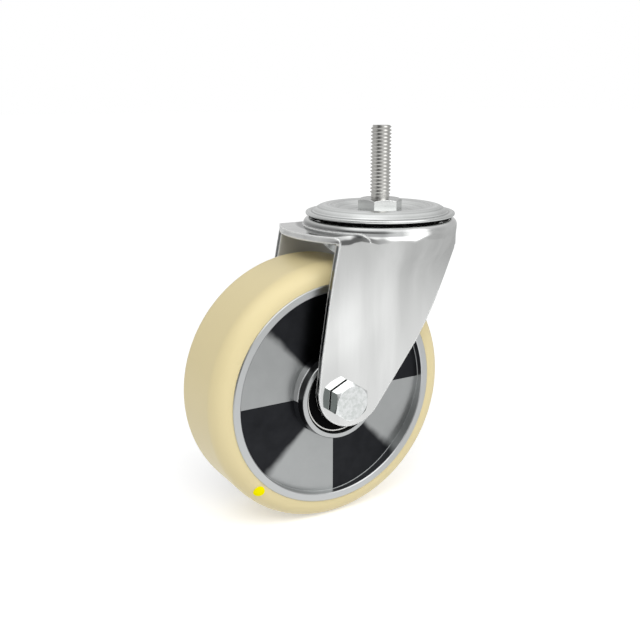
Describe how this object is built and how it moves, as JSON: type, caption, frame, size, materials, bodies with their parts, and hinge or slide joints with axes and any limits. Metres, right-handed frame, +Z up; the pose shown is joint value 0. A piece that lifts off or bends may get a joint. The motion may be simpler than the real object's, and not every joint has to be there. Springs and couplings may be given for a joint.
{
  "type": "swivel castor",
  "caption": "Antistatic stem castor: threaded stem with hexagon collar, domed ball race head, pressed steel fork and aluminium wheel with a cream tread and a yellow dot.",
  "frame": {"origin": "on the swivel axis at the mounting shoulder, where the stem leaves the top face of the hexagon collar", "axes": "+Z up along the stem, the wheel trails to -X, the axle lies along Y, the bolt head is on the -Y side"},
  "size_m": [0.1367, 0.0792, 0.1845],
  "materials": {
    "turned_steel": "turned steel, satin",
    "zinc_cover": "pressed steel, bright zinc plated, satin",
    "zinc_fork": "pressed steel, bright zinc plated, glossy",
    "zinc_parts": "bright zinc plated",
    "zinc_fasteners": "bright zinc plated",
    "hardened_steel": "ground bearing steel",
    "cage_steel": "pressed sheet, oiled",
    "turned_aluminium": "die cast, turned bright",
    "cream_polyurethane": "cast conductive polyurethane, satin",
    "black_seal": "nitrile rubber",
    "nylon_insert": "nylon",
    "yellow_mark": "gloss ink dot"
  },
  "bodies": {
    "mounting": {"threaded_stem": "turned_steel", "top_cover": "zinc_cover", "dust_seal": "black_seal", "lower_race_cup": "zinc_parts", "king_nut": "zinc_parts"},
    "upper_cage": {"upper_race_balls": "hardened_steel", "upper_ball_cage": "cage_steel"},
    "lower_cage": {"lower_race_balls": "hardened_steel", "lower_ball_cage": "cage_steel"},
    "swivel_fork": {"fork": "zinc_fork", "axle_bolt": "zinc_fasteners", "axle_sleeve": "turned_steel", "bearing_spacer": "turned_steel", "near_collar": "turned_steel", "far_collar": "turned_steel", "axle_washer": "zinc_fasteners", "axle_nut": "zinc_fasteners", "nut_insert": "nylon_insert", "near_inner_ring": "hardened_steel", "far_inner_ring": "hardened_steel"},
    "near_cage": {"near_bearing_balls": "hardened_steel", "near_bearing_cage": "cage_steel"},
    "far_cage": {"far_bearing_balls": "hardened_steel", "far_bearing_cage": "cage_steel"},
    "wheel": {"rim": "turned_aluminium", "tread": "cream_polyurethane", "antistatic_dot": "yellow_mark", "near_outer_ring": "hardened_steel", "far_outer_ring": "hardened_steel", "near_seal": "black_seal", "far_seal": "black_seal"}
  },
  "joints": [
    {"name": "swivel", "type": "hinge", "parent": "mounting", "child": "swivel_fork", "pos_m": [0, 0, 0], "axis": [0, 0, 1], "continuous": true},
    {"name": "wheel_spin", "type": "hinge", "parent": "swivel_fork", "child": "wheel", "pos_m": [-0.037, 0, -0.0875], "axis": [0, 1, 0], "continuous": true},
    {"name": "upper_cage_turn", "type": "hinge", "parent": "mounting", "child": "upper_cage", "pos_m": [0, 0, 0], "axis": [0, 0, 1], "continuous": true},
    {"name": "lower_cage_turn", "type": "hinge", "parent": "mounting", "child": "lower_cage", "pos_m": [0, 0, 0], "axis": [0, 0, 1], "continuous": true},
    {"name": "near_cage_turn", "type": "hinge", "parent": "swivel_fork", "child": "near_cage", "pos_m": [-0.037, 0, -0.0875], "axis": [0, 1, 0], "continuous": true},
    {"name": "far_cage_turn", "type": "hinge", "parent": "swivel_fork", "child": "far_cage", "pos_m": [-0.037, 0, -0.0875], "axis": [0, 1, 0], "continuous": true}
  ],
  "couplings": [
    {"joint": "upper_cage_turn", "follows": "swivel", "ratio": 0.5},
    {"joint": "lower_cage_turn", "follows": "swivel", "ratio": 0.5},
    {"joint": "near_cage_turn", "follows": "wheel_spin", "ratio": 0.617},
    {"joint": "far_cage_turn", "follows": "wheel_spin", "ratio": 0.617}
  ]
}
